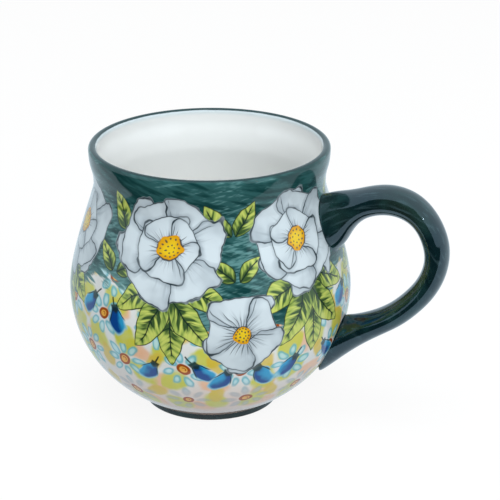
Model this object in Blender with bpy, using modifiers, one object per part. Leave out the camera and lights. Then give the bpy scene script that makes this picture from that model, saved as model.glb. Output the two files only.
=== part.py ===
"""A round-bellied stoneware mug with a looped strap handle.

The pieces are the ones a potter makes and then lutes together with slip: the turned cup, its turned
foot ring, the pulled strap handle, and the pad of slip under each end of the handle.
Metres, +Z up. The origin is on the axis of the cup, in the plane that the foot stands on, and the
handle points along +X.
"""

import math

import bmesh
import bpy
from mathutils import Vector
from mathutils.geometry import interpolate_bezier

# Cup, outside
MUG_HEIGHT = 0.0900
BELLY_RADIUS = 0.04705
BELLY_HEIGHT = 0.0410
NECK_RADIUS = 0.0382
NECK_HEIGHT = 0.0771
RIM_RADIUS = 0.0397
BASE_SPREAD_ANGLE = math.radians(31.0)  # of the wall above the foot, measured up from level
BASE_SPREAD = 0.0108  # how strongly the wall keeps that angle
BELLY_FULLNESS_LOW = 0.0225
BELLY_FULLNESS_HIGH = 0.0114
SHOULDER_FULLNESS = 0.0036
RIM_FLARE = 0.0060

# Cup, wall and floor
WALL = 0.0036
LIP_THICKNESS = 0.0028
FLOOR_THICKNESS = 0.0050
FLOOR_CORNER = 0.0085  # height over which the floor sweeps up into the wall

# Foot
FOOT_RADIUS = 0.0226
FOOT_WIDTH = 0.0050
FOOT_HEIGHT = 0.0020
FOOT_EDGE = 0.0007
UNDERSIDE_RECESS = 0.0008

# Handle: where it is rooted, how far its centre line reaches from the axis, and its sections
UPPER_ROOT_HEIGHT = 0.0665
LOWER_ROOT_HEIGHT = 0.0240
HANDLE_REACH = 0.0772
UPPER_ROOT_WIDTH = 0.0142
UPPER_ROOT_DEPTH = 0.0178
TOP_WIDTH = 0.0124
TOP_THICKNESS = 0.0088
GRIP_WIDTH = 0.0117
GRIP_THICKNESS = 0.0073
LOWER_ROOT_WIDTH = 0.0130
LOWER_ROOT_DEPTH = 0.0196
STRAP_SQUARENESS = 2.3  # exponent of the section: 2 is an ellipse, more is squarer

# Luting slip under the handle's roots
SLIP_THICKNESS = 0.0009
SLIP_SPREAD = 0.0009  # how far the pad squeezes out past the handle all round
SEAT_GAP = 0.0003  # between any two pieces that touch

# Fineness of the faceted solids
TURN_STEPS = 64
CURVE_STEPS = 9
LIP_STEPS = 6
STATION_STEPS = 2
SECTION_POINTS = 24
ROOT_OVERRUN = 0.0040  # how far a handle runs on into the cup before it is trimmed


def empty_the_scene():
    for obj in list(bpy.data.objects):
        bpy.data.objects.remove(obj, do_unlink=True)
    for collection in list(bpy.data.collections):
        bpy.data.collections.remove(collection)


def make_collection(name):
    collection = bpy.data.collections.new(name)
    bpy.context.scene.collection.children.link(collection)
    return collection


def glaze(name, colour, roughness):
    material = bpy.data.materials.new(name)
    material.use_nodes = True
    surface = material.node_tree.nodes["Principled BSDF"]
    surface.inputs["Base Color"].default_value = (*colour, 1.0)
    surface.inputs["Roughness"].default_value = roughness
    surface.inputs["Metallic"].default_value = 0.0
    return material


def bezier(start, start_handle, end_handle, end, steps):
    """Points (radius, height) along one Bezier stretch of a turned outline."""
    points = interpolate_bezier(*(Vector((*p, 0.0)) for p in (start, start_handle, end_handle, end)), steps + 1)
    return [Vector((p.x, p.y)) for p in points]


def base_shoulder():
    """Height of the cup's underside just above the foot ring."""
    return FOOT_HEIGHT + SEAT_GAP


def outer_outline():
    """The cup's outside from the foot up to where the lip starts to round over."""
    base = Vector((FOOT_RADIUS, base_shoulder()))
    belly = Vector((BELLY_RADIUS, BELLY_HEIGHT))
    neck = Vector((NECK_RADIUS, NECK_HEIGHT))
    rim = Vector((RIM_RADIUS, MUG_HEIGHT - LIP_THICKNESS / 2))
    spread = BASE_SPREAD * Vector((math.cos(BASE_SPREAD_ANGLE), math.sin(BASE_SPREAD_ANGLE)))
    low = bezier(base, base + spread, belly - Vector((0, BELLY_FULLNESS_LOW)), belly, CURVE_STEPS + 3)
    high = bezier(
        belly, belly + Vector((0, BELLY_FULLNESS_HIGH)), neck - Vector((0, SHOULDER_FULLNESS)), neck, CURVE_STEPS
    )
    flare = bezier(neck, neck + Vector((0, RIM_FLARE)), rim - Vector((0, RIM_FLARE)), rim, CURVE_STEPS * 2 // 3)
    return low + high[1:] + flare[1:]


def normals(outline):
    """Unit normals that point away from the axis, one for each point of an outline that runs upwards."""
    found = []
    for i in range(len(outline)):
        along = outline[min(i + 1, len(outline) - 1)] - outline[max(i - 1, 0)]
        found.append(Vector((along.y, -along.x)).normalized())
    return found


def offset_outline(distance):
    """The cup's outside moved out by a distance, at right angles to its wall."""
    outline = outer_outline()
    return [point + normal * distance for point, normal in zip(outline, normals(outline))]


def outer_radius(height):
    """Radius of the cup's outside at a height."""
    outline = outer_outline()
    for low, high in zip(outline, outline[1:]):
        if low.y <= height <= high.y:
            share = (height - low.y) / (high.y - low.y)
            return low.x + share * (high.x - low.x)
    return RIM_RADIUS


def wall_thickness(height):
    """The wall thins from its full thickness at the neck to the lip's thickness at the rim."""
    share = (height - NECK_HEIGHT) / (MUG_HEIGHT - LIP_THICKNESS / 2 - NECK_HEIGHT)
    return WALL + (LIP_THICKNESS - WALL) * min(max(share, 0.0), 1.0)


def inner_outline():
    """The cup's inside from the middle of the floor up to where the lip starts to round over."""
    outline = outer_outline()
    wall = [point - normal * wall_thickness(point.y) for point, normal in zip(outline, normals(outline))]
    wall[-1] = Vector((RIM_RADIUS - LIP_THICKNESS, outline[-1].y))
    floor_height = UNDERSIDE_RECESS + FLOOR_THICKNESS
    wall = [point for point in wall if point.y > floor_height + FLOOR_CORNER]
    start, slope = wall[0], (wall[0] - wall[1]).normalized()
    run = (start.y - floor_height) / -slope.y  # down the wall's own slope to the floor
    turn = start + slope * run * 0.75
    floor_edge = Vector((start.x + slope.x * run - FLOOR_CORNER, floor_height))
    corner = bezier(floor_edge, Vector((turn.x - FLOOR_CORNER / 4, floor_height)), turn, start, CURVE_STEPS // 2)
    return [Vector((0.0, floor_height))] + corner + wall[1:]


def lip_outline():
    """The half-round top of the lip, from inside to outside."""
    radius = LIP_THICKNESS / 2
    centre = Vector((RIM_RADIUS - radius, MUG_HEIGHT - radius))
    angles = [math.pi * (1 - i / LIP_STEPS) for i in range(1, LIP_STEPS)]
    return [centre + radius * Vector((math.cos(a), math.sin(a))) for a in angles]


def turned(name, outline, closed, collection, material=None):
    """A solid of revolution: the outline, which runs down its outer side, turned round Z by a Screw modifier."""
    mesh = bpy.data.meshes.new(name)
    count = len(outline)
    edges = [(i, (i + 1) % count) for i in range(count if closed else count - 1)]
    mesh.from_pydata([(point.x, 0.0, point.y) for point in outline], edges, [])
    obj = bpy.data.objects.new(name, mesh)
    collection.objects.link(obj)
    screw = obj.modifiers.new("Turn", "SCREW")
    screw.steps = TURN_STEPS
    screw.render_steps = TURN_STEPS
    screw.use_merge_vertices = True
    screw.merge_threshold = 0.00001
    screw.use_smooth_shade = True
    if material:
        mesh.materials.append(material)
    return obj


def build_body(collection, material):
    spigot_radius = FOOT_RADIUS - FOOT_WIDTH - SEAT_GAP
    underside = [
        Vector((spigot_radius, base_shoulder())),
        Vector((spigot_radius, UNDERSIDE_RECESS)),
        Vector((0.0, UNDERSIDE_RECESS)),
    ]
    outline = inner_outline() + lip_outline() + outer_outline()[::-1] + underside
    return turned("body", outline, False, collection, material)


def build_foot_ring(collection, material):
    inner_radius = FOOT_RADIUS - FOOT_WIDTH
    outline = [
        Vector((inner_radius, FOOT_HEIGHT)),
        Vector((FOOT_RADIUS, FOOT_HEIGHT)),
        Vector((FOOT_RADIUS, FOOT_EDGE)),
        Vector((FOOT_RADIUS - FOOT_EDGE * 0.3, FOOT_EDGE * 0.3)),
        Vector((FOOT_RADIUS - FOOT_EDGE, 0.0)),
        Vector((inner_radius + FOOT_EDGE, 0.0)),
        Vector((inner_radius, FOOT_EDGE)),
    ]
    return turned("foot_ring", outline, True, collection, material)


def handle_stations():
    """Sections of the strap from the upper root to the lower one, each as a centre (distance from the axis,
    height), a lean in degrees from level to its outer edge, a thickness and a width.

    Each row gives the centre's distance as a share of the way from the wall at that root out to the reach,
    and its height as a share of the way from the lower root up to the upper one."""
    upper_wall = outer_radius(UPPER_ROOT_HEIGHT)
    lower_wall = outer_radius(LOWER_ROOT_HEIGHT)
    upper_rows = (
        (0.00, 1.00, 105, UPPER_ROOT_DEPTH, UPPER_ROOT_WIDTH),
        (0.10, 1.055, 104, UPPER_ROOT_DEPTH * 0.89, UPPER_ROOT_WIDTH * 0.965),
        (0.175, 1.11, 101, UPPER_ROOT_DEPTH * 0.685, UPPER_ROOT_WIDTH * 0.945),
        (0.27, 1.167, 98, TOP_THICKNESS * 1.08, TOP_WIDTH * 1.05),
        (0.38, 1.21, 97, TOP_THICKNESS * 0.98, TOP_WIDTH * 1.02),
        (0.56, 1.238, 87, TOP_THICKNESS, TOP_WIDTH),
        (0.755, 1.197, 65, TOP_THICKNESS * 0.95, TOP_WIDTH),
        (0.896, 1.084, 38, TOP_THICKNESS * 0.86, GRIP_WIDTH),
        (0.98, 0.93, 14, GRIP_THICKNESS * 1.05, GRIP_WIDTH),
    )
    lower_rows = (
        (1.00, 0.80, -2, GRIP_THICKNESS, GRIP_WIDTH),
        (0.97, 0.67, -17, GRIP_THICKNESS, GRIP_WIDTH),
        (0.90, 0.55, -33, GRIP_THICKNESS, GRIP_WIDTH),
        (0.80, 0.445, -45, GRIP_THICKNESS, GRIP_WIDTH),
        (0.63, 0.31, -55, GRIP_THICKNESS, GRIP_WIDTH),
        (0.44, 0.22, -63, GRIP_THICKNESS, GRIP_WIDTH * 1.01),
        (0.27, 0.15, -80, LOWER_ROOT_DEPTH * 0.455, LOWER_ROOT_WIDTH * 0.94),
        (0.13, 0.08, -98, LOWER_ROOT_DEPTH * 0.66, LOWER_ROOT_WIDTH * 0.97),
        (0.00, 0.005, -109, LOWER_ROOT_DEPTH, LOWER_ROOT_WIDTH),
    )
    stations = []
    for rows, wall in ((upper_rows, upper_wall), (lower_rows, lower_wall)):
        for reach, rise, lean, thickness, width in rows:
            distance = wall + reach * (HANDLE_REACH - wall)
            height = LOWER_ROOT_HEIGHT + rise * (UPPER_ROOT_HEIGHT - LOWER_ROOT_HEIGHT)
            stations.append((distance, height, lean, thickness, width))
    return stations


def overrun(station, distance):
    """A root's section again, further into the cup."""
    return (station[0] - distance, *station[1:])


def smooth_stations(stations, steps):
    """More sections between the given ones, on a Catmull-Rom curve through all their values."""
    padded = [stations[0], *stations, stations[-1]]
    found = []
    for before, start, end, after in zip(padded, padded[1:], padded[2:], padded[3:]):
        for i in range(steps):
            t = i / steps
            found.append(
                tuple(
                    0.5 * (2 * b + (c - a) * t + (2 * a - 5 * b + 4 * c - d) * t**2 + (3 * b - a - 3 * c + d) * t**3)
                    for a, b, c, d in zip(before, start, end, after)
                )
            )
    return [*found, stations[-1]]


def section_ring(station, grow):
    """Corners of one section of the strap, grown outwards by a distance all round."""
    distance, height, lean, thickness, width = station
    outwards = Vector((math.cos(math.radians(lean)), 0.0, math.sin(math.radians(lean))))
    sideways = Vector((0.0, 1.0, 0.0))
    power = 2 / STRAP_SQUARENESS
    corners = []
    for i in range(SECTION_POINTS):
        angle = 2 * math.pi * i / SECTION_POINTS
        across = math.copysign(abs(math.cos(angle)) ** power, math.cos(angle))
        through = math.copysign(abs(math.sin(angle)) ** power, math.sin(angle))
        corners.append(
            Vector((distance, 0.0, height))
            + sideways * across * (width / 2 + grow)
            + outwards * through * (thickness / 2 + grow)
        )
    return corners


def lofted(name, stations, grow, collection, material):
    """A closed skin through the sections of the strap, with flat ends."""
    work = bmesh.new()
    rings = [[work.verts.new(corner) for corner in section_ring(station, grow)] for station in stations]
    for ring, following in zip(rings, rings[1:]):
        for i in range(SECTION_POINTS):
            j = (i + 1) % SECTION_POINTS
            work.faces.new((ring[i], ring[j], following[j], following[i]))
    work.faces.new(rings[0])
    work.faces.new(rings[-1])
    bmesh.ops.recalc_face_normals(work, faces=work.faces)
    mesh = bpy.data.meshes.new(name)
    work.to_mesh(mesh)
    work.free()
    mesh.materials.append(material)
    mesh.shade_smooth()
    mesh.set_sharp_from_angle(angle=math.radians(40))
    obj = bpy.data.objects.new(name, mesh)
    collection.objects.link(obj)
    return obj


def build_cutter(name, distance, collection):
    """The whole bulk inside the cup's outside moved out by a distance, for trimming what meets the wall."""
    wall = offset_outline(distance)[::-1]
    outline = [Vector((0.0, wall[0].y)), *wall, Vector((0.0, wall[-1].y))]
    cutter = turned(name, outline, False, collection)
    cutter.hide_render = True
    cutter.display_type = "WIRE"
    return cutter


def trim(obj, operation, cutter):
    boolean = obj.modifiers.new(f"{operation.title()} {cutter.name}", "BOOLEAN")
    boolean.operation = operation
    boolean.solver = "EXACT"
    boolean.object = cutter


def build_handle(stations, collection, material, seat):
    """The strap, trimmed to the face of the slip pads."""
    upper = overrun(stations[0], ROOT_OVERRUN)
    lower = overrun(stations[-1], ROOT_OVERRUN)
    handle = lofted("handle", [upper, *smooth_stations(stations, STATION_STEPS), lower], 0.0, collection, material)
    trim(handle, "DIFFERENCE", seat)
    return handle


def build_slip_joint(name, roots, collection, material, wall, seat):
    """The pad of slip between one end of the strap and the wall, a little wider than the strap."""
    inner_end = overrun(roots[0], ROOT_OVERRUN)
    pad = lofted(name, [inner_end, *roots], SLIP_SPREAD, collection, material)
    trim(pad, "INTERSECT", seat)
    trim(pad, "DIFFERENCE", wall)
    return pad


def main():
    empty_the_scene()
    parts = make_collection("stoneware_mug")
    cutters = make_collection("cutters")
    white = glaze("painted_white_glaze", (0.72, 0.75, 0.76), 0.12)
    green = glaze("dark_green_glaze", (0.012, 0.035, 0.036), 0.10)
    slip = glaze("luting_slip", (0.02, 0.05, 0.05), 0.20)

    build_body(parts, white)
    build_foot_ring(parts, green)
    wall = build_cutter("wall_cutter", SEAT_GAP, cutters)
    pad_face = build_cutter("pad_face_cutter", SEAT_GAP + SLIP_THICKNESS, cutters)
    seat = build_cutter("handle_seat_cutter", 2 * SEAT_GAP + SLIP_THICKNESS, cutters)
    stations = handle_stations()
    build_handle(stations, parts, green, seat)
    build_slip_joint("upper_slip_joint", stations[:3], parts, slip, wall, pad_face)
    build_slip_joint("lower_slip_joint", stations[:-4:-1], parts, slip, wall, pad_face)


main()
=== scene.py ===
import math

import bpy
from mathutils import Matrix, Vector
from mathutils.geometry import interpolate_bezier


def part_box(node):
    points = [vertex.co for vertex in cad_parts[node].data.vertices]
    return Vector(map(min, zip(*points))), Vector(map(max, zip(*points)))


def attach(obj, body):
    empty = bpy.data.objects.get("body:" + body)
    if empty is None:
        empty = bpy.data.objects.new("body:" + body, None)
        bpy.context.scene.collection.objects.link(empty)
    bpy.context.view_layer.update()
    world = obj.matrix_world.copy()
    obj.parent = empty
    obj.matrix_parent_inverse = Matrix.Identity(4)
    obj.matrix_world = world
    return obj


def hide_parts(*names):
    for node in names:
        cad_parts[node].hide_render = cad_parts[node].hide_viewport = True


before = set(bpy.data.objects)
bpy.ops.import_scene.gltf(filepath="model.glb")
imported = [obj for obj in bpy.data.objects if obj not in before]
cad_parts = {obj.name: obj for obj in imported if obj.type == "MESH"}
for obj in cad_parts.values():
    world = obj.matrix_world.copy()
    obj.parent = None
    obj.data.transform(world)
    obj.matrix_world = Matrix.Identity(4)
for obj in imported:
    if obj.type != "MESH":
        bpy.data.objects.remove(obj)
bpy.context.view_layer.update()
bodyLow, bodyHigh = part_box("body")
footLow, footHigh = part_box("foot_ring")
handleLow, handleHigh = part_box("handle")
print("frame loaded")


# Modelling helpers

def startPiece():
    # leaves edit mode with nothing selected
    if bpy.context.mode != "OBJECT":
        bpy.ops.object.mode_set(mode="OBJECT")
    bpy.ops.object.select_all(action="DESELECT")


def finishPiece(name, smoothAngle=math.radians(50)):
    # merges doubles, turns the faces outwards and puts the object's place into its mesh
    piece = bpy.context.active_object
    bpy.ops.object.mode_set(mode="EDIT")
    bpy.ops.mesh.select_all(action="SELECT")
    bpy.ops.mesh.remove_doubles(threshold=0.00001)
    bpy.ops.mesh.normals_make_consistent(inside=False)
    bpy.ops.object.mode_set(mode="OBJECT")
    bpy.ops.object.transform_apply(location=True, rotation=True, scale=True)
    bpy.ops.object.shade_smooth_by_angle(angle=smoothAngle)
    piece.name = name
    piece.data.name = name
    return piece


def applyModifier(piece, kind, **settings):
    modifier = piece.modifiers.new(kind.title(), kind)
    for key, value in settings.items():
        setattr(modifier, key, value)
    bpy.ops.object.modifier_apply(modifier=modifier.name)


def bezier(start, startHandle, endHandle, end, steps):
    # points (radius, height) along one stretch of a turned outline
    corners = [Vector((*p, 0.0)) for p in (start, startHandle, endHandle, end)]
    return [Vector((p.x, p.y)) for p in interpolate_bezier(*corners, steps + 1)]


def arc(centre, radius, startAngle, endAngle, steps):
    turns = [startAngle + (endAngle - startAngle) * i / steps for i in range(steps + 1)]
    return [centre + radius * Vector((math.cos(a), math.sin(a))) for a in turns]


def turnOnWheel(outline, steps):
    # draws the outline with one vertex, point by point, and spins it round the axis
    startPiece()
    bpy.ops.mesh.primitive_plane_add(size=0.001, location=(outline[0].x, 0, outline[0].y))
    bpy.ops.object.transform_apply(location=True)
    bpy.ops.object.mode_set(mode="EDIT")
    bpy.ops.mesh.select_mode(type="VERT")
    bpy.ops.mesh.select_all(action="SELECT")
    bpy.ops.mesh.merge(type="CENTER")
    for here, there in zip(outline, outline[1:]):
        step = (there.x - here.x, 0, there.y - here.y)
        bpy.ops.mesh.extrude_region_move(TRANSFORM_OT_translate={"value": step})
    bpy.ops.mesh.select_all(action="SELECT")
    bpy.ops.mesh.spin(steps=steps, angle=math.tau, center=(0, 0, 0), axis=(0, 0, 1))
    bpy.ops.object.mode_set(mode="OBJECT")


# The cup

cup = {
    "bellyHeight": 0.0410,
    "neckRadius": 0.0382,
    "neckHeight": 0.0771,
    "rimRadius": 0.0397,
    "spreadAngle": math.radians(31),  # of the wall above the foot
    "spread": 0.0108,
    "lowFullness": 0.0225,
    "highFullness": 0.0114,
    "shoulderFullness": 0.0036,
    "rimFlare": 0.0060,
    "wall": 0.0036,
    "lip": 0.0028,
    "floorHeight": 0.0058,
    "floorCorner": 0.0085,  # height over which the floor sweeps up into the wall
    "cornerPull": 0.75,  # how tightly it does
    "recess": 0.0012,  # height of the flat underside
    "recessInset": 0.0040,  # how far inside the foot's outer edge the underside ends
    "recessSlope": 0.0005,
    "steps": 192,  # round the axis, and then along each stretch of the outline
    "lowSteps": 40,
    "highSteps": 30,
    "flareSteps": 16,
    "lipSteps": 12,
    "cornerSteps": 16,
    "floorSteps": 6,
}


def outerOutline():
    # the outside, from the foot up to where the lip rounds over
    base = Vector((footHigh[0], footHigh[2]))
    belly = Vector((bodyHigh[1], cup["bellyHeight"]))
    neck = Vector((cup["neckRadius"], cup["neckHeight"]))
    rim = Vector((cup["rimRadius"], bodyHigh[2] - cup["lip"] / 2))
    spread = cup["spread"] * Vector((math.cos(cup["spreadAngle"]), math.sin(cup["spreadAngle"])))
    up = Vector((0, 1))
    high, shoulder, flare = (cup[name] * up for name in ("highFullness", "shoulderFullness", "rimFlare"))
    lowWall = bezier(base, base + spread, belly - cup["lowFullness"] * up, belly, cup["lowSteps"])
    highWall = bezier(belly, belly + high, neck - shoulder, neck, cup["highSteps"])
    flaredWall = bezier(neck, neck + flare, rim - flare, rim, cup["flareSteps"])
    return lowWall + highWall[1:] + flaredWall[1:]


def innerOutline(outer):
    # the inside, from the rim down to the middle of the floor
    inner = []
    for i, point in enumerate(outer):
        along = outer[min(i + 1, len(outer) - 1)] - outer[max(i - 1, 0)]
        inwards = Vector((-along.y, along.x)).normalized()
        share = (point.y - cup["neckHeight"]) / (outer[-1].y - cup["neckHeight"])
        thickness = cup["wall"] + (cup["lip"] - cup["wall"]) * min(max(share, 0), 1)
        inner.append(point + inwards * thickness)
    inner[-1] = Vector((outer[-1].x - cup["lip"], outer[-1].y))
    floor = cup["floorHeight"]
    wall = [p for p in inner if p.y > floor + cup["floorCorner"]]
    start, slope = wall[0], (wall[0] - wall[1]).normalized()
    run = (start.y - floor) / -slope.y
    turn = start + slope * run * cup["cornerPull"]
    edge = Vector((start.x + slope.x * run - cup["floorCorner"], floor))
    corner = bezier(edge, Vector((turn.x - cup["floorCorner"] / 4, floor)), turn, start, cup["cornerSteps"])
    flat = [Vector((edge.x * i / cup["floorSteps"], floor)) for i in range(cup["floorSteps"])]
    return wall[:0:-1] + corner[::-1] + flat[::-1]


def makeBody():
    outer = outerOutline()
    radius = cup["lip"] / 2
    lip = arc(Vector((outer[-1].x - radius, outer[-1].y)), radius, 0, math.pi, cup["lipSteps"])[1:-1]
    recess, edge = cup["recess"], footHigh[0] - cup["recessInset"]
    corners = (0, recess), (edge - cup["recessSlope"], recess), (edge, outer[0].y)
    underside = [Vector(corner) for corner in corners]
    outline = underside + outer + lip + innerOutline(outer)
    turnOnWheel(outline, cup["steps"])
    body = finishPiece("paintedBody")
    storeRise(body, outline, outer[0])
    return body


def storeRise(piece, outline, start):
    # the distance along the outline, from the foot up, over the lip and down inside, for the painting
    rises = [0.0]
    for here, there in zip(outline, outline[1:]):
        rises.append(rises[-1] + (there - here).length)
    zero = rises[outline.index(start)]
    rise = piece.data.attributes.new("rise", "FLOAT", "POINT")
    for i, vertex in enumerate(piece.data.vertices):
        place = Vector((math.hypot(vertex.co.x, vertex.co.y), vertex.co.z))
        nearest = min(range(len(outline)), key=lambda j: (outline[j] - place).length_squared)
        rise.data[i].value = rises[nearest] - zero


body = makeBody()
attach(body, "root")
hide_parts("body")
print("body turned")


# The foot ring

foot = {
    "width": 0.0050,
    "round": 0.0007,  # radius of its two lower edges
    "roundSteps": 6,
    "tuck": 0.0001,  # how far its top goes up into the cup
}


def makeFootRing():
    outerRadius, height = footHigh[0], footHigh[2] + foot["tuck"]
    innerRadius, r, steps = outerRadius - foot["width"], foot["round"], foot["roundSteps"]
    outline = [Vector((innerRadius, height))]
    outline += arc(Vector((innerRadius + r, r)), r, math.pi, 1.5 * math.pi, steps)
    outline += arc(Vector((outerRadius - r, r)), r, -0.5 * math.pi, 0, steps)
    outline += [Vector((outerRadius, height)), Vector((innerRadius, height))]
    turnOnWheel(outline, cup["steps"])
    return finishPiece("footRing")


footRing = makeFootRing()
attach(footRing, "root")
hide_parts("foot_ring")
print("foot ring turned")


# The handle

strap = {
    "upperRoot": (0.0412, 0.0665),  # distance from the axis, and height
    "lowerRoot": (0.0436, 0.0240),
    "gripHalf": 0.00375,  # from the middle of the grip to the handle's outer end
    "squareness": 1.13,  # how far the cage's corners stand out past a circle
    "cageSize": 1.072,  # the smoothed surface lies inside its cage
    # each section: share of the way out, share of the way up, lean in degrees, thickness, width
    "upperSections": (
        (-0.10, 0.965, 105, 0.0182, 0.0144),
        (0.00, 1.00, 105, 0.0178, 0.0142),
        (0.10, 1.055, 104, 0.0158, 0.0137),
        (0.175, 1.11, 101, 0.0122, 0.0134),
        (0.27, 1.167, 98, 0.0095, 0.0130),
        (0.38, 1.21, 97, 0.0086, 0.0126),
        (0.56, 1.238, 87, 0.0088, 0.0124),
        (0.755, 1.197, 65, 0.0084, 0.0124),
        (0.896, 1.084, 38, 0.0076, 0.0117),
        (0.98, 0.93, 14, 0.0077, 0.0117),
    ),
    "lowerSections": (
        (1.00, 0.80, -2, 0.0073, 0.0117),
        (0.97, 0.67, -17, 0.0073, 0.0117),
        (0.90, 0.55, -33, 0.0073, 0.0117),
        (0.80, 0.445, -45, 0.0073, 0.0117),
        (0.63, 0.31, -55, 0.0073, 0.0117),
        (0.44, 0.22, -63, 0.0073, 0.0118),
        (0.27, 0.15, -80, 0.0089, 0.0122),
        (0.13, 0.08, -98, 0.0130, 0.0126),
        (0.00, 0.005, -109, 0.0196, 0.0130),
        (-0.09, -0.035, -111, 0.0205, 0.0132),
    ),
}


def strapSections():
    reach = handleHigh[0] - strap["gripHalf"]
    bottom, top = strap["lowerRoot"][1], strap["upperRoot"][1]
    found = []
    for end in ("upper", "lower"):
        root = strap[end + "Root"]
        for out, up, lean, thickness, width in strap[end + "Sections"]:
            centre = Vector((root[0] + out * (reach - root[0]), 0, bottom + up * (top - bottom)))
            found.append((centre, math.radians(lean), thickness, width))
    return found


def makeStrapCage(sections):
    # an eight-sided ring, extruded from section to section; each is laid level to be sized, then leant
    startPiece()
    bpy.ops.mesh.primitive_circle_add(vertices=8, radius=0.5, fill_type="NGON")
    bpy.ops.object.mode_set(mode="OBJECT")
    cage = bpy.context.active_object
    for vertex in cage.data.vertices:
        vertex.select = min(abs(vertex.co.x), abs(vertex.co.y)) > 0.1
    bpy.ops.object.mode_set(mode="EDIT")
    bpy.ops.mesh.select_mode(type="VERT")
    bpy.ops.transform.resize(value=(strap["squareness"], strap["squareness"], 1))
    bpy.ops.mesh.select_all(action="SELECT")
    size = strap["cageSize"]
    place, leant, thick, wide = Vector((0, 0, 0)), 0, 1 / size, 1 / size
    for i, (centre, lean, thickness, width) in enumerate(sections):
        if i > 0:
            bpy.ops.mesh.extrude_region_move()
        bpy.ops.transform.rotate(value=-leant, orient_axis="Y", center_override=place)
        bpy.ops.transform.resize(value=(thickness / thick, width / wide, 1), center_override=place)
        bpy.ops.transform.rotate(value=lean, orient_axis="Y", center_override=place)
        bpy.ops.transform.translate(value=centre - place)
        place, leant, thick, wide = centre, lean, thickness, width
    bpy.ops.object.mode_set(mode="OBJECT")
    return cage


def makeHandle():
    cage = makeStrapCage(strapSections())
    applyModifier(cage, "SUBSURF", levels=3, render_levels=3)
    return finishPiece("strapHandle", math.radians(70))


handle = makeHandle()
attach(handle, "root")
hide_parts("handle")
print("handle pulled and bent")


# The slip joints

slip = {
    "fillet": 0.0012,  # radius of the hollow fillet smoothed round each root
    "tuck": 0.0003,  # how far its upper edge starts inside the strap
    "steps": 6,
    "sunk": 0.0010,  # how deep the ring goes into the wall
    "points": 96,
    "squareness": 2.3,  # exponent of the section: 2 is an ellipse, more is squarer
}


def makeSlipJoint(name, section):
    # a ring round the root, spread out over the wall and raised into a hollow fillet
    centre, lean, thickness, width = section
    startPiece()
    points, power = slip["points"], slip["squareness"]
    bpy.ops.mesh.primitive_circle_add(vertices=points, radius=0.5, fill_type="NOTHING")
    ring = bpy.context.active_object
    across, along = width - 2 * slip["tuck"], thickness - 2 * slip["tuck"]
    for vertex in ring.data.vertices:
        flat = Vector((vertex.co.x, vertex.co.y)) * 2
        spread = (abs(flat.x) ** power + abs(flat.y) ** power) ** (-1 / power)
        vertex.co = Vector((flat.x * spread * along / 2, flat.y * spread * across / 2, 0))
    bpy.ops.object.mode_set(mode="EDIT")
    bpy.ops.mesh.select_all(action="SELECT")
    for i in range(slip["steps"]):
        angles = (math.pi / 2 * i / slip["steps"], math.pi / 2 * (i + 1) / slip["steps"])
        grow = 2 * slip["fillet"] * (math.cos(angles[0]) - math.cos(angles[1]))
        bpy.ops.mesh.extrude_edges_move()
        bpy.ops.transform.resize(value=((along + grow) / along, (across + grow) / across, 1))
        across, along = across + grow, along + grow
    bpy.ops.mesh.select_all(action="SELECT")
    bpy.ops.transform.rotate(value=lean, orient_axis="Y", center_override=(0, 0, 0))
    bpy.ops.transform.translate(value=centre)
    bpy.ops.object.mode_set(mode="OBJECT")
    rings = ring.vertex_groups.new(name="lift")
    for i in range(slip["steps"] + 1):
        angle = math.pi / 2 * i / slip["steps"]
        rings.add(list(range(points * i, points * (i + 1))), 1 - math.sin(angle), "REPLACE")
    applyModifier(ring, "SHRINKWRAP", target=body, wrap_method="NEAREST_SURFACEPOINT")
    bpy.ops.object.mode_set(mode="EDIT")
    bpy.ops.mesh.select_all(action="SELECT")
    bpy.ops.mesh.normals_make_consistent(inside=False)
    bpy.ops.object.mode_set(mode="OBJECT")
    centreNormal = ring.data.polygons[0].normal
    if centreNormal.x < 0:
        ring.data.flip_normals()
    applyModifier(
        ring, "DISPLACE", vertex_group="lift", strength=slip["fillet"], mid_level=0, direction="NORMAL"
    )
    applyModifier(ring, "SOLIDIFY", thickness=slip["sunk"], offset=-1)
    return finishPiece(name, math.radians(40))


def makeSlipJoints():
    sections = strapSections()
    for name, node, section in (
        ("upperSlipJoint", "upper_slip_joint", sections[1]),
        ("lowerSlipJoint", "lower_slip_joint", sections[-2]),
    ):
        joint = makeSlipJoint(name, section)
        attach(joint, "root")
        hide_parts(node)
        slipJoints.append(joint)


slipJoints = []
makeSlipJoints()
print("slip joints smoothed")


# Glaze nodes

class Wire:
    # a node's output that can be used in sums
    def __init__(self, glaze, socket):
        self.glaze, self.socket = glaze, socket

    def math(self, operation, *others):
        return self.glaze.node("Math", {"operation": operation}, dict(enumerate((self, *others))))

    def __add__(self, other):
        return self.math("ADD", other)

    def __sub__(self, other):
        return self.math("SUBTRACT", other)

    def __mul__(self, other):
        return self.math("MULTIPLY", other)

    def __truediv__(self, other):
        return self.math("DIVIDE", other)

    def __pow__(self, other):
        return self.math("POWER", other)

    def __abs__(self):
        return self.math("ABSOLUTE")

    def __rsub__(self, other):
        return self.glaze.node("Math", {"operation": "SUBTRACT"}, {0: other, 1: self})

    def __rtruediv__(self, other):
        return self.glaze.node("Math", {"operation": "DIVIDE"}, {0: other, 1: self})

    __radd__ = __add__
    __rmul__ = __mul__


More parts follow.
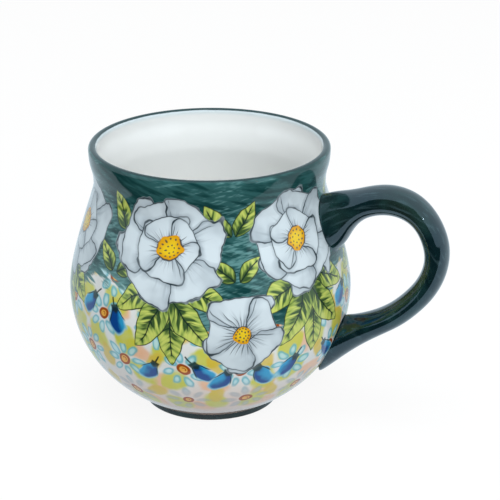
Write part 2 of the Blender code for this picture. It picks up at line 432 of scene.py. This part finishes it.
class Glaze:
    # a material, or a world, and the tools to paint it
    def __init__(self, owner, shader="Principled BSDF"):
        owner.use_nodes = True
        self.owner, self.tree = owner, owner.node_tree
        self.shader = self.tree.nodes[shader]

    def node(self, kind, settings=None, inputs=None, output=0):
        made = self.tree.nodes.new("ShaderNode" + kind)
        for key, value in (settings or {}).items():
            setattr(made, key, value)
        for key, value in (inputs or {}).items():
            self.feed(made.inputs[key], value)
        return Wire(self, made.outputs[output])

    def feed(self, entry, value):
        if isinstance(value, Wire):
            self.tree.links.new(value.socket, entry)
        else:
            entry.default_value = value

    def finish(self, **inputs):
        for key, value in inputs.items():
            self.feed(self.shader.inputs[key.replace("_", " ")], value)
        return self.owner

    def mix(self, share, first, second):
        # between two numbers
        return self.node("Mix", None, {0: share, 2: first, 3: second})

    def tint(self, share, first, second):
        # between two colours
        colours = [(*c[:3], 1) if isinstance(c, tuple) else c for c in (first, second)]
        return self.node("Mix", {"data_type": "RGBA"}, {0: share, 6: colours[0], 7: colours[1]}, 2)

    def step(self, value, start, end):
        # 0 before start and 1 after end, softly
        settings = {"interpolation_type": "SMOOTHSTEP"}
        return self.node("MapRange", settings, {0: value, 1: start, 2: end})

    def split(self, vector):
        made = self.node("SeparateXYZ", None, {0: vector}).socket.node
        return [Wire(self, socket) for socket in made.outputs]

    def noise(self, place, scale, detail=2.0, output="Fac"):
        return self.node("TexNoise", None, {"Vector": place, "Scale": scale, "Detail": detail}, output)

    def flatNoise(self, x, y, detail=2.0):
        inputs = {"Vector": self.pair(x, y), "Scale": 1.0, "Detail": detail}
        return self.node("TexNoise", {"noise_dimensions": "2D"}, inputs)

    def stretched(self, place, scale):
        return self.node("VectorMath", {"operation": "MULTIPLY"}, {0: place, 1: scale})

    def pair(self, x, y):
        return self.node("CombineXYZ", None, {0: x, 1: y})

    def chance(self, index, seed):
        # three numbers from 0 to 1 that belong to a whole number
        noise = {"noise_dimensions": "1D"}
        return self.split(self.node("TexWhiteNoise", noise, {"W": index + seed}, "Color"))


# The painting, in millimetres on the unrolled wall

paint = {
    "repeats": 6,  # even, because every second lower rosette makes way for the pale field
    "groundDark": (0.005, 0.044, 0.044),
    "ground": (0.028, 0.108, 0.108),
    "groundPale": (0.140, 0.315, 0.315),
    "lip": (0.006, 0.032, 0.034),
    # a painted highlight: the pale slate line where the wall meets the foot, standing in for the glaze
    # catching the light
    "footHighlight": (0.16, 0.21, 0.24),
    "underside": (0.74, 0.73, 0.69),
    "slate": (0.030, 0.045, 0.055),
    "petalShade": (0.27, 0.33, 0.38),
    "petal": (0.645, 0.73, 0.78),
    "yolk": (0.83, 0.58, 0.02),
    "yolkEdge": (0.72, 0.33, 0.01),
    "leaf": (0.59, 0.655, 0.15),
    "leafGreen": (0.22, 0.35, 0.07),
    "leafShade": (0.020, 0.060, 0.022),
    "leafLine": (0.010, 0.026, 0.020),
    "bud": (0.003, 0.060, 0.270),
    "budShine": (0.025, 0.33, 0.61),
    "budPale": (0.28, 0.62, 0.78),
    "white": (0.775, 0.79, 0.775),
    # painted light inside the cup: the deep wall is painted brighter than the glaze to lift its shade, and
    # the top of the inside is painted darker as painted shade where the lamps light it most
    "inside": (1.0, 1.0, 0.985),
    "insideTopShade": (0.80, 0.815, 0.81),
    # a painted reflection: the pale blue-grey ring just inside the lip, darker than the white, which also
    # shades the brightly lit inner rim
    "insideEdgeSheen": (0.60, 0.69, 0.73),
    "pool": (0.865, 0.885, 0.88),
    "blush": (0.82, 0.64, 0.56),
    "daisyRing": (0.36, 0.075, 0.010),
    "daisyHeart": (0.85, 0.45, 0.08),
    "daisyBlue": (0.07, 0.44, 0.54),
    "daisyGrey": (0.33, 0.37, 0.42),
    "daisyPale": (0.50, 0.78, 0.84),
    "daisyHaze": (0.42, 0.46, 0.50),
    "lime": (0.60, 0.61, 0.05),
    "ochre": (0.70, 0.52, 0.06),
    "peach": (0.86, 0.50, 0.30),
    "lineWidth": 0.34,
    # heights up the wall, which go on over the lip and down inside
    "undersideFade": (-1.5, -2.5),
    "dabFade": (7.0, 14.0),  # no dabs close to the foot
    # how high up the wall the painted foot highlight reaches
    "footHighlightTop": 0.9,
    "groundEdge": 53.0,
    "scallop": 3.0,  # how far the ground's edge swings with every rosette
    "window": 6.0,  # and how far where a lower rosette makes way
    "fullBrush": (84.0, 96.0),  # where the ground darkens towards the lip
    "lipStart": 98.5,
    "lipEnd": 100.6,
    "insideEdgeEnd": 102.7,
    "insideTopFade": (132.0, 106.0),
    "poolFade": (168.0, 186.0),
    # rosettes: size, and rings of petals as number, share of the size and half width
    "bigHeight": 75.5,
    "bigSize": 16.6,
    "bigRings": ((6, 1.0, 0.64), (5, 0.60, 0.66)),
    "smallHeight": 48.5,
    "smallSize": 12.4,
    "smallRings": ((5, 1.0, 0.74),),
    # leaves and buds: where one starts from the rosette's middle, direction, length, half width, bend
    "bigSpray": (
        ("bud", (6.5, -38.0), -0.95, 9.0, 2.9, 0),
        ("leaf", (3.0, -13.0), -0.42, 18.0, 4.4, 0.20),
        ("middleLeaf", (0.0, -15.0), -math.pi / 2, 24.0, 5.0, 0.06),
        ("leaf", (1.0, -15.0), -0.98, 21.0, 4.8, -0.15),
    ),
    "smallBuds": (("bud", (4.5, -13.0), -1.0, 9.5, 3.1, 0),),
    "smallBudsDrop": 20.0,  # how much lower they hang where a lower rosette makes way
    "smallSpray": (
        ("leaf", (0.6, 31.0), 0.98, 13.5, 3.3, -0.15),
        ("leaf", (0.8, 17.0), 0.70, 11.0, 2.9, 0.10),
    ),
    # the pale field: row pitch, spacing along a row, first row's height, shift, and a dab's half sizes
    "girthRise": (0.98, -0.0101),  # how the wall's radius grows with the distance up from the foot
    "peachDabs": (13.0, 18.0, 15.0, 0.5, 6.4, 4.0),
    "limeDabs": (12.0, 13.0, 19.0, 0.5, 4.5, 6.6),
    "ochreDabs": (14.0, 19.0, 23.0, 0.5, 3.0, 5.0),
    "daisies": (14.5, 19.0, 21.0, 0.0),
}


class Canvas:
    # a patch of wall around one repeat of a motif: x runs round from its middle and y up
    def __init__(self, glaze, x, y, index, seed):
        self.x, self.y, self.index = x, y, index
        self.chances = glaze.chance(index, seed)

    def stray(self, along, up, tilt):
        # no two are painted quite alike
        x = self.x + (self.chances[0] - 0.5) * along
        y = self.y + (self.chances[1] - 0.5) * up
        lean = (self.chances[2] - 0.5) * tilt
        sine, cosine = lean.math("SINE"), lean.math("COSINE")
        self.x = x * cosine + y * sine
        self.y = y * cosine - x * sine
        return self


def garland(glaze, wall, count, offset, height, seed):
    # motifs evenly round the cup at one height
    turns = wall["turn"] * (count / math.tau) + offset
    index = turns.math("ROUND")
    x = (turns - index) * wall["radius"] * (math.tau / count)
    return Canvas(glaze, x, wall["rise"] - height, index.math("FLOORED_MODULO", count), seed)


def scatter(glaze, wall, pitch, spacing, start, offset, seed):
    # rows of motifs, fewer in a row where the wall is narrower
    row = ((wall["rise"] - start) / pitch).math("ROUND").math("MAXIMUM", 0)
    middle = row * pitch + start
    slope, curve = paint["girthRise"]
    girth = middle * slope + middle ** 2 * curve + footHigh[0] * 1000
    count = (girth * (math.tau / spacing)).math("ROUND")
    turns = wall["turn"] * count / math.tau + row * 0.5 + offset
    index = turns.math("ROUND")
    x = (turns - index) * wall["radius"] * math.tau / count
    number = index.math("FLOORED_MODULO", count) + row * 31
    return Canvas(glaze, x, wall["rise"] - middle, number, seed)


def petal(distance, angle, reach, width):
    # along: 0 at the heart and 1 at the tip; aside: -1 and 1 on its sides; edge: 1 all round its outline
    along = distance * angle.math("COSINE") / reach
    across = distance * angle.math("SINE") / reach
    aside = across / (along * 0.5 + width * 0.72)
    edge = (((along - 0.6) / 0.4) ** 2 + aside ** 2).math("SQRT")
    return along, aside, edge


def paintPetal(glaze, layers, distance, angle, reach, width, size, wobble, own):
    # one petal over what is there: its light, its ink and its cover
    light, ink, cover = layers
    along, aside, edge = petal(distance, angle, reach, width)
    edge = edge + (wobble - 0.5) * 0.34
    inside = glaze.step(edge, 1.03, 0.99)
    shadow = glaze.step(edge, 1.30, 0.98) * 0.45
    streak = glaze.flatNoise(angle * 9, own)
    deep = glaze.step(along + (streak - 0.5) * 0.9, 0.66, 0.16) * 0.62
    turned = glaze.step(aside + (wobble - 0.5) * 0.8, 0.20, 1.05) * 0.48
    rolled = glaze.step(edge, 0.78, 0.98) * 0.26
    shade = (1 - deep) * (1 - turned) * (1 - rolled)
    line = glaze.step(abs(edge - 0.985) * (0.42 * size), paint["lineWidth"], 0.10) * (wobble * 1.1 + 0.36)
    ray = abs((angle * 4.0 + wobble * 0.5).math("FRACT") - 0.5) * distance / 4.0
    reaching = glaze.step(along + (streak - 0.5) * 1.3, 0.54, 0.40) * glaze.step(along, 0.20, 0.27)
    veins = glaze.step(ray, 0.26, 0.06) * reaching * 0.75
    return (
        glaze.mix(inside, light * (1 - shadow), shade),
        glaze.mix(inside, ink, line.math("MAXIMUM", veins)),
        cover.math("MAXIMUM", inside) if isinstance(cover, Wire) else inside,
    )


def petalRing(glaze, layers, distance, turn, count, size, width, own, wobble):
    # each petal lies over the next one round
    turns = turn * (count / math.tau)
    index = turns.math("FLOOR")
    angle = (turns - index) * (math.tau / count)
    for i in (1, 0):
        number = (index + i).math("FLOORED_MODULO", count) + own
        reach = (glaze.chance(number, 17.0)[0] * 0.20 + 0.88) * size
        around = angle - i * math.tau / count
        layers = paintPetal(glaze, layers, distance, around, reach, width, size, wobble, number)
    return layers


def paintHeart(glaze, colour, distance, turn, rim, wobble):
    # a yellow heart with rows of dots
    heart = distance + (wobble - 0.5) * 2.6
    yolk = glaze.tint(glaze.step(heart / rim, 0.35, 1.0), paint["yolk"], paint["yolkEdge"])
    for ring, dots in ((0.74, 12), (0.38, 6)):
        around = abs((turn * (dots / math.tau)).math("FRACT") - 0.5) * distance * (math.tau / dots)
        away = ((heart - rim * ring) ** 2 + around ** 2).math("SQRT")
        yolk = glaze.tint(glaze.step(away, 0.42, 0.22) * 0.85, yolk, paint["slate"])
    colour = glaze.tint(glaze.step(heart - rim, 0.10, -0.05), colour, yolk)
    ring = glaze.step(abs(heart - rim), 0.30, 0.10) * glaze.step(wobble, 0.42, 0.52)
    return glaze.tint(ring * 0.9, colour, paint["slate"])


def paintBlossom(glaze, canvas, size, rings, wobble, colour, seed):
    # a folk rosette: rings of broad petals round a dotted yellow heart
    spin = canvas.chances[0] * 2.0
    distance = (canvas.x ** 2 + canvas.y ** 2).math("SQRT")
    turn = canvas.y.math("ARCTAN2", canvas.x) + spin + math.tau
    layers = 1.0, 0.0, 0.0
    for i, (petals, share, width) in enumerate(rings):
        own = canvas.index * 7.0 + seed + 40 * i
        spun = turn + i * 0.6
        layers = petalRing(glaze, layers, distance, spun, petals, size * share, width, own, wobble)
    light, ink, cover = layers
    flower = glaze.tint(light, paint["petalShade"], paint["petal"])
    flower = glaze.tint(ink, flower, paint["slate"])
    colour = glaze.tint(cover, colour, flower)
    return paintHeart(glaze, colour, distance, turn, size * 0.25, wobble)


def paintLeaf(glaze, colour, x, y, base, angle, length, width, bend, wobble):
    # an almond leaf, dark along its midrib, with side veins drawn in short strokes
    fromX, fromY = x - base[0], y - base[1]
    along = (fromX * math.cos(angle) + fromY * math.sin(angle)) / length
    across = fromY * math.cos(angle) - fromX * math.sin(angle)
    room = (along * (1 - along)).math("MAXIMUM", 0)
    across = across - room * (bend * length)
    half = (room * 4) ** 0.75 * (1.25 - along * 0.5) * width
    side = abs(across)
    inside = half - side + (wobble - 0.5) * (room * 8).math("MINIMUM", 1) * 0.8
    aside = side / half.math("MAXIMUM", 0.3)
    veinAt = along * length - side * 0.9
    strokes = glaze.flatNoise(veinAt * 0.62, across * 0.25, 1.0)
    shade = glaze.step(strokes * 1.4 - along * 0.78 - aside * 0.45, 0.02, 0.42)
    soft = glaze.step(strokes - aside * 0.10 - along * 0.32, 0.00, 0.42)
    blade = glaze.tint(soft * 0.85, paint["leaf"], paint["leafGreen"])
    blade = glaze.tint(shade * 0.90, blade, paint["leafShade"])
    vein = abs((veinAt / 4.6 + wobble * 0.7).math("FRACT") - 0.5) * 4.6
    lines = glaze.step(vein + aside * 0.50, 0.38, 0.18) * glaze.step(along, 0.80, 0.60)
    midrib = glaze.step(side, 0.34, 0.14) * glaze.step(along, 0.92, 0.80)
    edge = glaze.step(inside, paint["lineWidth"] + 0.22, 0.26)
    ink = lines.math("MAXIMUM", edge).math("MAXIMUM", midrib)
    blade = glaze.tint(ink * 0.92, blade, paint["leafLine"])
    return glaze.tint(glaze.step(inside, 0.0, 0.12), colour, blade)


def paintBud(glaze, colour, x, y, base, angle, length, width, wobble):
    # a watery blue bud in a dark cup with two thin sepals
    fromX, fromY = x - base[0], y - base[1]
    along = fromX * math.cos(angle) + fromY * math.sin(angle)
    across = fromY * math.cos(angle) - fromX * math.sin(angle) + (wobble - 0.5) * 0.9
    side = abs(across)
    girth = along * (0.45 / length) + 0.72
    edge = (((along - length / 2) / (length / 2)) ** 2 + (across / girth / width) ** 2).math("SQRT")
    edge = edge + (wobble - 0.5) * 0.5
    shine = glaze.step(across / width + wobble * 1.6, 0.50, 1.40)
    blue = glaze.tint(shine, paint["bud"], paint["budShine"])
    blue = glaze.tint(glaze.step(edge, 0.78, 1.05), blue, paint["budPale"])
    colour = glaze.tint(glaze.step(edge, 1.14, 0.92), colour, blue)
    calyx = glaze.step(along + side * 0.7, length * 0.30, length * 0.18) * glaze.step(along, -0.9, -0.4)
    stem = glaze.step(side, 0.40, 0.20) * glaze.step(along, -3.4, -2.8) * glaze.step(along, 1.0, 0.5)
    reach = glaze.step(along, length * 0.62, length * 0.4) * glaze.step(along, -0.5, 0.1)
    sepal = glaze.step(abs(side - along * 0.42 - 0.9), 0.34, 0.12) * reach
    ink = (calyx * glaze.step(side, 1.7, 1.2)).math("MAXIMUM", stem).math("MAXIMUM", sepal)
    return glaze.tint(ink * 0.92, colour, paint["leafLine"])


def paintSpray(glaze, colour, motifs, x, y, wobble):
    # leaves and buds on both sides of one rosette
    side = abs(x)
    for kind, base, angle, length, width, bend in motifs:
        if kind == "bud":
            colour = paintBud(glaze, colour, side, y, base, angle, length, width, wobble)
        else:
            across = x if kind == "middleLeaf" else side
            colour = paintLeaf(glaze, colour, across, y, base, angle, length, width, bend, wobble)
    return colour


def paintDabs(glaze, colour, wall, wobble, name, seed):
    # soft flat dabs, each leaning its own way
    *rows, wide, tall = paint[name + "Dabs"]
    canvas = scatter(glaze, wall, *rows, seed).stray(4.0, 4.0, 2.6)
    edge = ((canvas.x / wide) ** 2 + (canvas.y / tall) ** 2).math("SQRT") + (wobble - 0.5) * 0.5
    dab = glaze.step(edge, 1.06, 0.66) * glaze.step(canvas.chances[1], 0.12, 0.16)
    dab = dab * glaze.step(wall["rise"], *paint["dabFade"])
    return glaze.tint(dab * (1.05 - wobble * 0.3), colour, paint[name])


def paintDaisy(glaze, colour, canvas, height, wobble):
    # loose hollow petals round a brown ring with a yellow heart
    distance = (canvas.x ** 2 + canvas.y ** 2).math("SQRT")
    turn = canvas.y.math("ARCTAN2", canvas.x) + canvas.chances[2] * 3
    across = distance * abs((turn * (8 / math.tau)).math("FRACT") - 0.5) * (math.tau / 8)
    edge = (((distance - 5.1) / 2.3) ** 2 + (across / 1.35) ** 2).math("SQRT") + (wobble - 0.5) * 0.9
    hazy = glaze.step(height, 31.5, 23.5)
    blue = glaze.tint(hazy, paint["daisyBlue"], paint["daisyGrey"])
    pale = glaze.tint(hazy, paint["daisyPale"], paint["daisyHaze"])
    leafed = glaze.tint(glaze.step(edge, 0.25, 0.90), pale, blue)
    cover = glaze.step(edge, hazy * 0.20 + 1.25, 0.80 - hazy * 0.45)
    colour = glaze.tint(cover * (0.85 - hazy * 0.20), colour, leafed)
    heart = distance + (wobble - 0.5) * 1.0
    colour = glaze.tint(glaze.step(heart, 2.40, 2.05), colour, paint["daisyRing"])
    colour = glaze.tint(glaze.step(heart, 1.40, 1.10), colour, paint["daisyHeart"])
    curl = glaze.step(abs(heart - 0.62), 0.26, 0.10) * glaze.step(canvas.x + canvas.y, -0.4, 0.3)
    return glaze.tint(curl, colour, paint["daisyRing"])


def paintLowerField(glaze, place, wall, wobble):
    # the pale field under the garland: soft dabs of colour and rows of small daisies
    soft = glaze.noise(place, 90, 1.0)
    blush = glaze.step(wall["rise"] + (soft - 0.5) * 24, 42.0, 8.0)
    colour = glaze.tint(blush, paint["white"], paint["blush"])
    for name, seed in (("peach", 3.0), ("lime", 14.0), ("ochre", 25.0)):
        colour = paintDabs(glaze, colour, wall, wobble, name, seed)
    daisies = scatter(glaze, wall, *paint["daisies"], 71.0).stray(2.6, 2.4, 0.4)
    return paintDaisy(glaze, colour, daisies, wall["rise"], wobble)


def paintGround(glaze, place, wall):
    # the dark upper ground, brushed on in streaks that lean both ways
    strokes = []
    for lean, scale in ((0.30, 120), (-0.22, 270)):
        mapping = {"Rotation": (0, lean, 0), "Scale": (1, 1, 0.20)}
        brushed = glaze.node("Mapping", {"vector_type": "TEXTURE"}, {"Vector": place, **mapping})
        strokes.append(glaze.noise(brushed, scale, 2.0))
    patch = glaze.noise(place, 34, 1.0)
    thin = glaze.step(strokes[0] + patch * 0.5, 0.56, 0.86)
    ground = glaze.tint(thin, paint["groundDark"], paint["ground"])
    thick = glaze.step(wall["rise"], *paint["fullBrush"]) * 0.20
    light = glaze.step(strokes[1] * 1.2 + strokes[0] * 0.7 + patch * 1.2 - thick, 1.46, 1.84)
    return glaze.tint(light * 0.78, ground, paint["groundPale"]), strokes


def paintBody():
    glaze = Glaze(bpy.data.materials.new("paintedGlaze"))
    place = glaze.node("TexCoord", output="Object")
    east, north, _ = glaze.split(place)
    rise = glaze.node("Attribute", {"attribute_name": "rise"}, output="Fac") * 1000
    drift = glaze.split(glaze.noise(place, 110, 1.0, "Color"))
    wobble = glaze.noise(place, 250, 1.0)
    wall = {
        "turn": north.math("ARCTAN2", east) + (drift[0] - 0.5) * 0.06,
        "radius": (east ** 2 + north ** 2).math("SQRT") * 1000,
        "rise": rise + (drift[1] - 0.5) * 2.6,
    }
    repeats = paint["repeats"]
    colour = paintLowerField(glaze, place, wall, wobble)

    ground, strokes = paintGround(glaze, place, wall)
    scallop = (wall["turn"] * repeats).math("COSINE") * paint["scallop"]
    window = (wall["turn"] * (repeats / 2)).math("COSINE") * paint["window"]
    edge = wall["rise"] - (scallop + window) - paint["groundEdge"] + (strokes[0] - 0.5) * 14
    ground = glaze.tint(glaze.step(edge, 4.0, 0.0) * 0.55, ground, paint["groundPale"])
    colour = glaze.tint(glaze.step(edge, -1.0, 1.0), colour, ground)

    big = garland(glaze, wall, repeats, 0.5, paint["bigHeight"], 5.0).stray(2.0, 2.4, 0.5)
    small = garland(glaze, wall, repeats, 0.0, paint["smallHeight"], 9.0).stray(2.0, 3.0, 0.5)
    blooms = small.index.math("FLOORED_MODULO", 2)
    colour = paintSpray(glaze, colour, paint["bigSpray"], big.x, big.y, wobble)
    drop = (1 - blooms) * paint["smallBudsDrop"]
    colour = paintSpray(glaze, colour, paint["smallBuds"], small.x, small.y - drop, wobble)
    colour = paintSpray(glaze, colour, paint["smallSpray"], small.x, small.y, wobble)

    rosette = paintBlossom(glaze, small, paint["smallSize"], paint["smallRings"], wobble, colour, 200.0)
    colour = glaze.tint(blooms, colour, rosette)
    colour = paintBlossom(glaze, big, paint["bigSize"], paint["bigRings"], wobble, colour, 100.0)

    lip = glaze.step(rise + wobble * 0.3, paint["lipStart"], paint["lipStart"] + 0.5)
    colour = glaze.tint(lip, colour, paint["lip"])
    inside = glaze.step(rise + wobble * 0.2, paint["lipEnd"], paint["lipEnd"] + 0.4)
    # painted light inside: painted shade at the top of the inside, giving way lower down to a wall painted
    # brighter than its glaze
    white = glaze.tint(glaze.step(rise, *paint["insideTopFade"]), paint["inside"], paint["insideTopShade"])
    white = glaze.tint(glaze.step(rise, *paint["poolFade"]), white, paint["pool"])
    # painted reflection just inside the lip, fading into the white below it; it also shades the brightly
    # lit inner rim
    fade = glaze.step(rise, paint["insideEdgeEnd"], paint["lipEnd"] + 0.1)
    white = glaze.tint(fade, white, paint["insideEdgeSheen"])
    colour = glaze.tint(inside, colour, white)
    # painted highlight: a pale slate line along the joint over the foot
    band = glaze.step(rise + (wobble - 0.5) * 0.8, paint["footHighlightTop"], paint["footHighlightTop"] - 0.5)
    colour = glaze.tint(band, colour, paint["footHighlight"])
    colour = glaze.tint(glaze.step(rise, *paint["undersideFade"]), colour, paint["underside"])

    print("painting nodes:", len(glaze.tree.nodes))
    return glaze.finish(Base_Color=colour, Roughness=0.08, Normal=peelBump(glaze, place, 0.06, 0.0004))


# Glazes on the handle and the foot

green = {
    "deep": (0.002, 0.012, 0.015),
    "thin": (0.012, 0.050, 0.050),
    "olive": (0.026, 0.034, 0.014),
    "worn": (0.042, 0.080, 0.090),
    "loopMiddle": (0.058, 0.047),  # the brush went round this point, east and up
    "markPull": 0.004,  # metres to a radian: the less, the longer the brush marks
    "roughness": 0.07,
    "gloss": 1.78,  # index of refraction
    "sheen": (0.68, 0.86, 1.0, 1),
    "stoneware": (0.52, 0.46, 0.38),
    "stonewareDark": (0.34, 0.28, 0.22),
}


def brushMarks(glaze, place):
    # fine marks that run round the handle's loop
    east, north, up = glaze.split(place)
    east, up = east - green["loopMiddle"][0], up - green["loopMiddle"][1]
    away = (east ** 2 + up ** 2).math("SQRT")
    turned = up.math("ARCTAN2", east) * green["markPull"]
    marks = glaze.node("CombineXYZ", None, {0: away, 1: north, 2: turned})
    return glaze.noise(marks, 800, 2.0)


def brushedGreen(glaze, place, marks):
    # dark green with thinner glaze in patches and in fine marks
    flow = glaze.noise(glaze.stretched(place, (1, 2.5, 1)), 120, 2.0)
    pool = glaze.noise(place, 35, 1.0)
    colour = glaze.tint(glaze.step(flow, 0.45, 0.75) * 0.6, green["deep"], green["thin"])
    colour = glaze.tint(glaze.step(pool, 0.52, 0.72) * 0.28, colour, green["olive"])
    colour = glaze.tint(glaze.step(marks, 0.52, 0.76) * 0.60, colour, green["worn"])
    specks = glaze.noise(place, 1500, 1.0)
    return glaze.tint(glaze.step(specks, 0.68, 0.74) * 0.35, colour, green["thin"])


def peelBump(glaze, place, strength, distance, marks=0.0):
    peel = glaze.noise(place, 160, 2.0) + glaze.noise(place, 60, 1.0) + marks
    return glaze.node("Bump", None, {"Strength": strength, "Distance": distance, "Height": peel})


def glazeGreen(name):
    glaze = Glaze(bpy.data.materials.new(name))
    place = glaze.node("TexCoord", output="Object")
    rough = glaze.noise(place, 90, 2.0) * 0.06 + (green["roughness"] - 0.03)
    marks = brushMarks(glaze, place)
    bump = peelBump(glaze, place, 0.10, 0.0004, marks * 0.8)
    return glaze.finish(
        Base_Color=brushedGreen(glaze, place, marks), Roughness=rough, Normal=bump,
        Specular_Tint=green["sheen"], IOR=green["gloss"],
    )


def glazeFoot():
    # a green band outside, wiped off where the foot stands, and bare stoneware inside
    glaze = Glaze(bpy.data.materials.new("footGlaze"))
    place = glaze.node("TexCoord", output="Object")
    east, north, up = glaze.split(place)
    grit = glaze.noise(place, 2600, 3.0)
    radius = (east ** 2 + north ** 2).math("SQRT")
    uneven = glaze.noise(place, 300, 2.0) * 0.0004
    outside = glaze.step(radius, footHigh[0] - foot["round"] * 1.2, footHigh[0] - foot["round"] * 0.8)
    bare = 1 - outside * glaze.step(up + uneven, 0.0004, 0.0006)
    clay = glaze.tint(glaze.step(grit, 0.35, 0.65), green["stoneware"], green["stonewareDark"])
    colour = glaze.tint(bare, brushedGreen(glaze, place, brushMarks(glaze, place)), clay)
    bump = glaze.node("Bump", None, {"Strength": 0.25, "Distance": 0.0002, "Height": grit * bare})
    return glaze.finish(Base_Color=colour, Roughness=bare * 0.75 + green["roughness"], Normal=bump)


body.data.materials.append(paintBody())
footRing.data.materials.append(glazeFoot())
handle.data.materials.append(glazeGreen("handleGlaze"))
slipGlaze = glazeGreen("slipGlaze")
for joint in slipJoints:
    joint.data.materials.append(slipGlaze)
print("glazes painted and fired")


# Stage, lamps and camera

view = {
    "turn": math.radians(18),  # how far the camera stands round from the front, towards the handle
    "distance": 0.650,
    "rise": math.radians(21.787),
    "pitch": math.radians(21.202),
    "yaw": math.radians(1.258),
    "target": 0.045,
    "lens": 139.4,
}

studio = {
    "ambient": 0.33,  # strength of the world as a light
    "air": (0.95, 0.985, 1.0),
    "sheen": (0.73, 0.87, 0.96),
    "floor": (0.50, 0.50, 0.50),
    "floorGlow": 0.90,  # the share of the floor that shows plain white; the rest takes the shadow
    "flagPlace": (0.3, -0.60, 0.004),
    "flagSize": (2.2, 1.08),
    "flagHeight": 1.8,
    # each lamp: place, size, watts, shown in reflections; all are turned to the middle of the cup
    "lamps": (
        ("softTop", (0.0, -0.15, 1.30), 0.90, 11.5, False),
        ("softKey", (1.05, -0.75, 0.75), 0.80, 5.7, False),
        ("softFront", (0.40, -1.20, 0.60), 0.80, 5.8, False),
        ("spark", (1.05, -0.55, 0.67), 0.04, 0.3, True),
    ),
}


def makeCamera():
    turn = view["turn"]
    away = Vector((math.sin(turn), -math.cos(turn), 0))
    heading = turn - view["yaw"]
    place = away * view["distance"] * math.cos(view["rise"])
    place.z = view["target"] + view["distance"] * math.sin(view["rise"])
    flat = math.cos(view["pitch"])
    forward = Vector((-math.sin(heading) * flat, math.cos(heading) * flat, -math.sin(view["pitch"])))
    startPiece()
    bpy.ops.object.camera_add(location=place, rotation=forward.to_track_quat("-Z", "Y").to_euler())
    camera = bpy.context.active_object
    camera.data.lens = view["lens"]
    camera.data.sensor_width = 36
    camera.data.clip_start = 0.01
    bpy.context.scene.camera = camera


def rayShares(glaze):
    # 1 for rays that show the backdrop itself or its reflection, and 1 for those that only reflect it
    path = glaze.node("LightPath").socket.node.outputs
    camera, glossy, through = (
        Wire(glaze, path[ray]) for ray in ("Is Camera Ray", "Is Glossy Ray", "Is Transmission Ray")
    )
    return camera.math("MAXIMUM", glossy).math("MAXIMUM", through), glossy


def makeFloor():
    startPiece()
    bpy.ops.mesh.primitive_plane_add(size=12, location=(0, 0, 0))
    floor = bpy.context.active_object
    floor.name = "floor"
    glaze = Glaze(bpy.data.materials.new("paleFloor"))
    seen, glossy = rayShares(glaze)
    white = glaze.tint(glossy, (1, 1, 1), studio["sheen"])
    glow = glaze.node("Emission", None, {"Color": white, "Strength": 1.0})
    pale = glaze.tint(seen, studio["floor"], white)
    glaze.finish(Base_Color=pale, Roughness=0.9, Specular_IOR_Level=0.0)
    plain = Wire(glaze, glaze.shader.outputs[0])
    shown = glaze.node("MixShader", None, {0: seen * studio["floorGlow"], 1: plain, 2: glow})
    glaze.feed(glaze.tree.nodes["Material Output"].inputs["Surface"], shown)
    floor.data.materials.append(glaze.owner)


def makeFlag():
    # dark cards behind the camera and on the table before the cup, seen only in reflections
    glaze = Glaze(bpy.data.materials.new("flagCard"))
    dark = glaze.finish(Base_Color=(0.02, 0.02, 0.02, 1), Roughness=1.0, Specular_IOR_Level=0.0)
    startPiece()
    bpy.ops.mesh.primitive_plane_add(size=1, location=studio["flagPlace"])
    flag = bpy.context.active_object
    flag.name = "flag"
    bpy.ops.object.mode_set(mode="EDIT")
    bpy.ops.transform.resize(value=(*studio["flagSize"], 1))
    bpy.ops.mesh.select_all(action="DESELECT")
    bpy.ops.object.mode_set(mode="OBJECT")
    for edge in flag.data.edges:
        edge.select = all(flag.data.vertices[i].co.y < 0 for i in edge.vertices)
    bpy.ops.object.mode_set(mode="EDIT")
    bpy.ops.mesh.select_mode(type="EDGE")
    bpy.ops.mesh.extrude_region_move(TRANSFORM_OT_translate={"value": (0, 0, studio["flagHeight"])})
    bpy.ops.object.mode_set(mode="OBJECT")
    flag.data.materials.append(dark)
    for ray in ("visible_camera", "visible_diffuse", "visible_transmission", "visible_shadow"):
        setattr(flag, ray, False)


def makeLamps():
    world = bpy.data.worlds.new("studio")
    bpy.context.scene.world = world
    sky = Glaze(world, "Background")
    seen, glossy = rayShares(sky)
    colour = sky.tint(glossy, sky.tint(seen, studio["air"], (1, 1, 1)), studio["sheen"])
    sky.finish(Color=colour, Strength=seen * (1 - studio["ambient"]) + studio["ambient"])
    middle = Vector((0, 0, 0.05))
    for name, place, size, watts, reflected in studio["lamps"]:
        turned = (middle - Vector(place)).to_track_quat("-Z", "Y").to_euler()
        startPiece()
        bpy.ops.object.light_add(type="AREA", location=place, rotation=turned)
        lamp = bpy.context.active_object
        lamp.name = name
        lamp.data.size = size
        lamp.data.energy = watts
        lamp.data.color = studio["air"]
        lamp.visible_camera = False
        lamp.visible_glossy = reflected


makeCamera()
makeFloor()
makeFlag()
makeLamps()
bpy.context.scene.view_settings.view_transform = "Standard"
